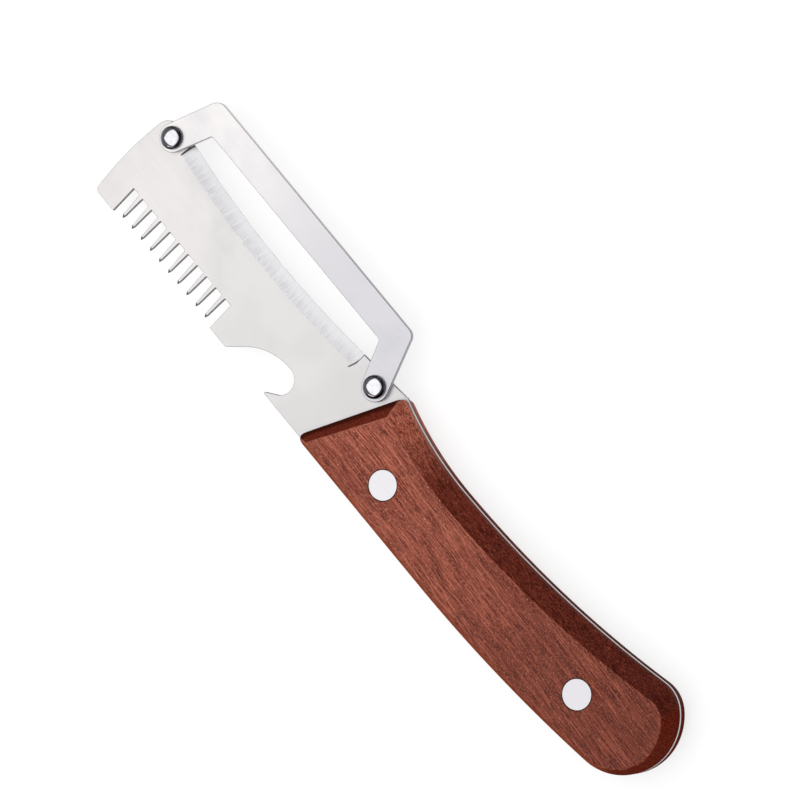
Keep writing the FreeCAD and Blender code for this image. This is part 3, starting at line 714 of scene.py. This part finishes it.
# Points on an arc: centre plus radius times cosine and sine of evenly spaced angles, end left out.
def arcPoints(centre, radius, first, last, count):
    start, stop = (math.atan2(*(np.array(point) - centre)[::-1]) for point in (first, last))
    turn = (stop - start + math.pi) % (2 * math.pi) - math.pi
    angles = start + turn * np.arange(count)[:, None] / count
    return centre + radius * np.hstack((np.cos(angles), np.sin(angles)))


def linePoints(first, last, count):
    return first + (last - first) * np.arange(count)[:, None] / count


# Quadratic curve: (1-t)^2 of the first point, 2t(1-t) of the corner and t^2 of the last.
def cornerPoints(first, corner, last, count, closed=False):
    t = np.linspace(0, 1, count, endpoint=closed)[:, None]
    return (1 - t) ** 2 * first + 2 * t * (1 - t) * corner + t ** 2 * last


handleLook = {
    "foot": {"frontBelly": (60.3, 12.6), "frontSpineX": 47.6, "waist": (21.0, -10.6),
             "frontRadius": 90.0, "rearRadius": 285.0, "bellyStart": 12.0, "bellyRadius": 400.0,
             "buttX": -58.6, "buttRadius": 14.2, "heelRadius": 8.5,
             "bellyCorner": 3.0, "spineCorner": 2.0},
    "face": {"frontBelly": (56.0, 10.4), "frontSpineX": 45.5, "waist": (21.0, -6.65),
             "frontRadius": 88.0, "rearRadius": 287.0, "bellyStart": 12.0, "bellyRadius": 410.0,
             "buttX": -57.0, "buttRadius": 11.5, "heelRadius": 5.5,
             "bellyCorner": 1.6, "spineCorner": 0.9},
    "land": 1.8,              # upright wall beside the tang
    "soft": 0.32,             # how far a softened edge reaches
    "recessRadius": 3.87,
    "recessDepth": 1.4,
    "holeRadius": 2.53,
    "holeSides": 72,
}


# The handle's outline seen from the front: slanted front line, spine in two arcs, butt in two
# arcs, belly arc and belly line, with both front corners rounded. Millimetres.
def handleOutline(shape):
    bellyFront = np.array(shape["frontBelly"])
    waist = np.array(shape["waist"])
    bellySoft, spineSoft = shape["bellyCorner"], shape["spineCorner"]
    frontCentre = waist - (0, shape["frontRadius"])
    rearCentre = waist - (0, shape["rearRadius"])
    bellyStart = np.array((shape["bellyStart"], bellyFront[1]))
    bellyCentre = bellyStart - (0, shape["bellyRadius"])

    def onFrontArc(x):
        rise = math.sqrt(shape["frontRadius"] ** 2 - (x - waist[0]) ** 2)
        return np.array((x, frontCentre[1] + rise))

    spineFront = onFrontArc(shape["frontSpineX"])
    spineStart = onFrontArc(shape["frontSpineX"] - spineSoft)
    buttX = shape["buttX"] + shape["buttRadius"]
    inner = shape["bellyRadius"] - shape["buttRadius"]
    drop = math.sqrt(inner ** 2 - (buttX - bellyCentre[0]) ** 2)
    buttCentre = np.array((buttX, bellyCentre[1] + drop))

    # The heel's centre: where circles about the rear and butt centres cross.
    span = buttCentre - rearCentre
    length = np.linalg.norm(span)
    reach = shape["rearRadius"] + shape["heelRadius"]
    other = shape["buttRadius"] - shape["heelRadius"]
    part = (length ** 2 + reach ** 2 - other ** 2) / (2 * length)
    unit = span / length
    side = math.sqrt(reach ** 2 - part ** 2)
    heelCentre = rearCentre + unit * part + np.array((-unit[1], unit[0])) * side

    def towards(start, goal, distance):
        return start + (goal - start) / np.linalg.norm(goal - start) * distance

    spineEnd = towards(rearCentre, heelCentre, shape["rearRadius"])
    buttEnd = towards(buttCentre, heelCentre, shape["buttRadius"])
    bellyEnd = towards(bellyCentre, buttCentre, shape["bellyRadius"])
    frontStart = towards(bellyFront, spineFront, bellySoft)
    frontStop = towards(spineFront, bellyFront, spineSoft)
    bellyStop = bellyFront - (bellySoft, 0)
    return np.vstack((
        cornerPoints(bellyStop, bellyFront, frontStart, 8),
        linePoints(frontStart, frontStop, 24),
        cornerPoints(frontStop, spineFront, spineStart, 8),
        arcPoints(frontCentre, shape["frontRadius"], spineStart, waist, 40),
        arcPoints(rearCentre, shape["rearRadius"], waist, spineEnd, 90),
        arcPoints(heelCentre, shape["heelRadius"], spineEnd, buttEnd, 28),
        arcPoints(buttCentre, shape["buttRadius"], buttEnd, bellyEnd, 40),
        arcPoints(bellyCentre, shape["bellyRadius"], bellyEnd, bellyStart, 72),
        linePoints(bellyStart, bellyStop, 48),
    ))


# A scale: every ring is foot + blend * (face - foot), raised by the profile's height. The profile
# runs up the land, along the bevel and over the softened face edge; flat fills close both sides.
def buildScale(name, node, look, outward):
    low, high = (np.array(corner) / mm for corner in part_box(node))
    foot, face = handleOutline(look["foot"]), handleOutline(look["face"])
    thick = high[2] - low[2]
    soft, land = look["soft"], look["land"]
    rise = thick - land
    bevelFoot = np.array((soft / rise, land + soft))
    bevelTop = np.array((1 - soft / rise, thick - soft))
    shoulder = cornerPoints(np.array((0, land - soft)), np.array((0, land)), bevelFoot, 6)
    bevel = linePoints(bevelFoot, bevelTop, 10)
    crest = cornerPoints(bevelTop, np.array((1, thick)),
                         np.array((1 + 1.2 * soft / rise, thick)), 7, closed=True)
    profile = np.vstack((np.array(((0.025, 0), (0, 0.12), (0, land / 2))), shoulder, bevel, crest,
                         np.array(((1.16, thick), (1.24, thick)))))
    wear = np.zeros(len(profile))
    wear[-9:-3] = 1.0          # the softened face edge
    blend, height = profile[:, 0][:, None, None], profile[:, 1]
    rings = np.empty((len(profile), len(foot), 3))
    rings[:, :, :2] = foot + blend * (face - foot)
    rings[:, :, 2] = height[:, None]
    points = [rings.reshape(-1, 3)]
    faces = gridFaces(len(profile), len(foot))
    wears = [np.repeat(wear, len(foot))]

    # Each rivet hole: recess wall, recess floor, then the tube's hole down to the tang.
    turn = np.linspace(0, 2 * math.pi, look["holeSides"], endpoint=False)
    recess, hole, depth = look["recessRadius"], look["holeRadius"], look["recessDepth"]
    steps = np.array(((recess + 0.1, thick), (recess, thick - 0.08), (recess, thick - depth),
                      (hole, thick - depth), (hole, 0)))
    for rivet in ("front_rivet_post", "rear_rivet_post"):
        axis = sum(np.array(corner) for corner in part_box(rivet)) / 2 / mm
        ring = np.empty((len(steps), len(turn), 3))
        ring[:, :, 0] = axis[0] + steps[:, 0][:, None] * np.cos(turn)
        ring[:, :, 1] = axis[1] + steps[:, 0][:, None] * np.sin(turn)
        ring[:, :, 2] = steps[:, 1][:, None]
        faces += gridFaces(len(steps), len(turn), sum(len(part) for part in points))
        points.append(ring.reshape(-1, 3))
        wears.append(np.zeros(ring.shape[0] * ring.shape[1]))
    points = np.vstack(points)
    points[:, 2] = low[2] + points[:, 2] if outward > 0 else high[2] - points[:, 2]

    mesh = bpy.data.meshes.new(name)
    mesh.from_pydata((points * mm).tolist(), [], faces)
    mesh.attributes.new("edgeWear", "FLOAT", "POINT").data.foreach_set("value", np.concatenate(wears))
    work = bmesh.new()
    work.from_mesh(mesh)
    for level in (low[2] * mm, high[2] * mm):
        rim = [edge for edge in work.edges
               if edge.is_boundary and all(abs(vert.co.z - level) < 1e-6 for vert in edge.verts)]
        bmesh.ops.triangle_fill(work, edges=rim, use_beauty=True, use_dissolve=False)
    work.to_mesh(mesh)
    work.free()
    return finishPiece(name, mesh, node, handleWood, 42)


buildScale("frontScaleWood", "scale_front", handleLook, 1)
buildScale("rearScaleWood", "scale_rear", handleLook, -1)
print("scales ready")


# A turned piece: the profile's radius and height carried round the node's upright axis.
def buildTurned(name, node, profile, material, shade=None, sides=96):
    low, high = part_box(node)
    axis = (low + high) / 2
    turn = np.linspace(0, 2 * math.pi, sides, endpoint=False)
    grid = np.empty((len(profile), sides, 3))
    grid[:, :, 0] = axis.x + profile[:, 0][:, None] * mm * np.cos(turn)
    grid[:, :, 1] = axis.y + profile[:, 0][:, None] * mm * np.sin(turn)
    grid[:, :, 2] = profile[:, 1][:, None] * mm
    mesh = bpy.data.meshes.new(name)
    mesh.from_pydata(grid.reshape(-1, 3).tolist(), [], gridFaces(len(profile), sides))
    if shade is not None:
        values = np.repeat(shade, sides)
        mesh.attributes.new("seatShade", "FLOAT", "POINT").data.foreach_set("value", values)
    return finishPiece(name, mesh, node, material, 50)


# Dome from its rim to the axis: a quarter ellipse, radius * sine and rise * cosine of the angle.
def domeProfile(radius, rim, crown, count):
    angles = np.linspace(math.pi / 2, 0, count)
    return np.column_stack((radius * np.sin(angles), rim + (crown - rim) * np.cos(angles)))


domeRivetLook = {
    "headRadius": 2.87, "headRim": 0.45, "headHeight": 1.9,
    "tailRadius": 2.4, "tailRim": 0.2, "tailHeight": 0.8, "shankRadius": 1.5,
    "seatShadeHeights": (1.10, 1.50),  # painted dark reflection on the foot of the head up to here, and clear from here
}


def buildDomeRivet(name, node, look):
    low, high = (corner.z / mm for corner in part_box(node))
    seat, back = high - look["headHeight"], low + look["tailHeight"]
    tail = domeProfile(look["tailRadius"], back - look["tailRim"], low, 12)[::-1]
    head = domeProfile(look["headRadius"], seat + look["headRim"], high, 32)
    profile = np.vstack((
        tail,
        ((look["tailRadius"], back),
         (look["shankRadius"], back), (look["shankRadius"], seat),
         (look["headRadius"] - 0.05, seat), (look["headRadius"], seat + 0.05)),
        head))
    shade = np.interp(profile[:, 1] - seat, (-0.01, 0.0, *look["seatShadeHeights"]), (0.0, 1.0, 1.0, 0.0))
    return buildTurned(name, node, profile, domeSteel, shade)


buildDomeRivet("tipDomeRivet", "guard_rivet_tip", domeRivetLook)
buildDomeRivet("heelDomeRivet", "guard_rivet_heel", domeRivetLook)

flushRivetLook = {
    "headRadius": 3.72, "headThick": 1.4, "edge": 0.15, "pinRadius": 1.6, "tubeRadius": 2.5,
    "boreRadius": 1.62,
}


# Solid half: pin, then a flat head with a quadratic curve between its side and its face.
def buildRivetPost(name, node, look):
    low, high = (corner.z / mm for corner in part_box(node))
    head, edge = look["headRadius"], look["edge"]
    rim = cornerPoints(np.array((head, high - edge)), np.array((head, high)),
                       np.array((head - edge, high)), 5)
    under = high - look["headThick"]
    profile = np.vstack((
        ((0, low), (look["pinRadius"], low), (look["pinRadius"], under), (head, under)),
        rim, ((head - edge, high), (head - 0.4, high), (0, high))))
    return buildTurned(name, node, profile, flushMetal)


# Tubular half: flat head with the same softened edge, then a tube that is open at its far end.
def buildRivetCap(name, node, look):
    low, high = (corner.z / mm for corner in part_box(node))
    head, edge = look["headRadius"], look["edge"]
    rim = cornerPoints(np.array((head - edge, low)), np.array((head, low)),
                       np.array((head, low + edge)), 5)
    upper = low + look["headThick"]
    profile = np.vstack((
        ((0, low), (head - 0.4, low)), rim,
        ((head, low + edge), (head, upper), (look["tubeRadius"], upper), (look["tubeRadius"], high),
         (look["boreRadius"], high), (look["boreRadius"], upper), (0, upper))))
    return buildTurned(name, node, profile, flushMetal)


for end in ("front", "rear"):
    buildRivetPost(end + "RivetPost", end + "_rivet_post", flushRivetLook)
    buildRivetCap(end + "RivetCap", end + "_rivet_cap", flushRivetLook)
print("rivets ready")


stageLook = {
    "floorSize": 8.0,                      # m
    "floorGap": 0.05,                      # mm under the knife
    "floorColour": (0.26, 0.26, 0.26, 1),
    "floorGlow": 0.74,                     # the paper is lit from below as well
    "skyLight": (0.50, 0.50, 0.505, 1),    # soft fill on dull surfaces
    "skyMirror": (0.16, 0.16, 0.165, 1),   # what polished surfaces see between the panels
    "panels": (
        # name, place (m), size (m), power (W), colour; the overhead one shines straight down
        ("overheadPanel", (0.13, 0.02, 0.60), (1.20, 1.20), 5.9, (1.0, 0.985, 0.975)),
        ("bellyStrip", (-0.12, 0.50, 0.27), (0.50, 0.05), 0.2, (1.0, 1.0, 1.0)),
        ("spinePanel", (0.42, -0.68, 0.09), (0.50, 0.14), 0.5, (1.0, 0.97, 1.0)),
    ),
    "aim": (0.06, 0.0, 0.0),               # m, the other panels face this point
}


def buildStage(look):
    half = look["floorSize"] / 2
    level = cadBox[0].z - look["floorGap"] * mm
    corners = [(x * half, y * half, level) for x, y in ((-1, -1), (1, -1), (1, 1), (-1, 1))]
    mesh = bpy.data.meshes.new("floor")
    mesh.from_pydata(corners, [], [(0, 1, 2, 3)])
    mesh.materials.append(newMaterial(
        "floorPaper", Roughness=0.9, Specular_IOR_Level=0.1, Base_Color=look["floorColour"],
        Emission_Color=(1, 1, 1, 1), Emission_Strength=look["floorGlow"])[0])
    floor = bpy.data.objects.new("floor", mesh)
    bpy.context.scene.collection.objects.link(floor)

    world = bpy.data.worlds.new("studio")
    world.use_nodes = True
    bpy.context.scene.world = world
    tree = world.node_tree
    path = put(tree, "ShaderNodeLightPath")
    sky = blendColours(tree, path.outputs["Is Glossy Ray"], look["skyLight"], look["skyMirror"])
    sky = blendColours(tree, path.outputs["Is Camera Ray"], sky, (1, 1, 1, 1))
    tree.links.new(sky, tree.nodes["Background"].inputs["Color"])

    for name, place, size, power, colour in look["panels"]:
        lamp = bpy.data.lights.new(name, "AREA")
        lamp.shape = "RECTANGLE"
        lamp.size, lamp.size_y = size
        lamp.energy = power
        lamp.color = colour
        panel = bpy.data.objects.new(name, lamp)
        panel.location = place
        direction = Vector(look["aim"]) - Vector(place)
        if name == "overheadPanel":
            direction = Vector((0, 0, -1))
        panel.rotation_euler = direction.to_track_quat("-Z", "Y").to_euler()
        panel.visible_camera = False
        bpy.context.scene.collection.objects.link(panel)
    bpy.context.scene.view_settings.view_transform = "Standard"


buildStage(stageLook)
print("stage ready")
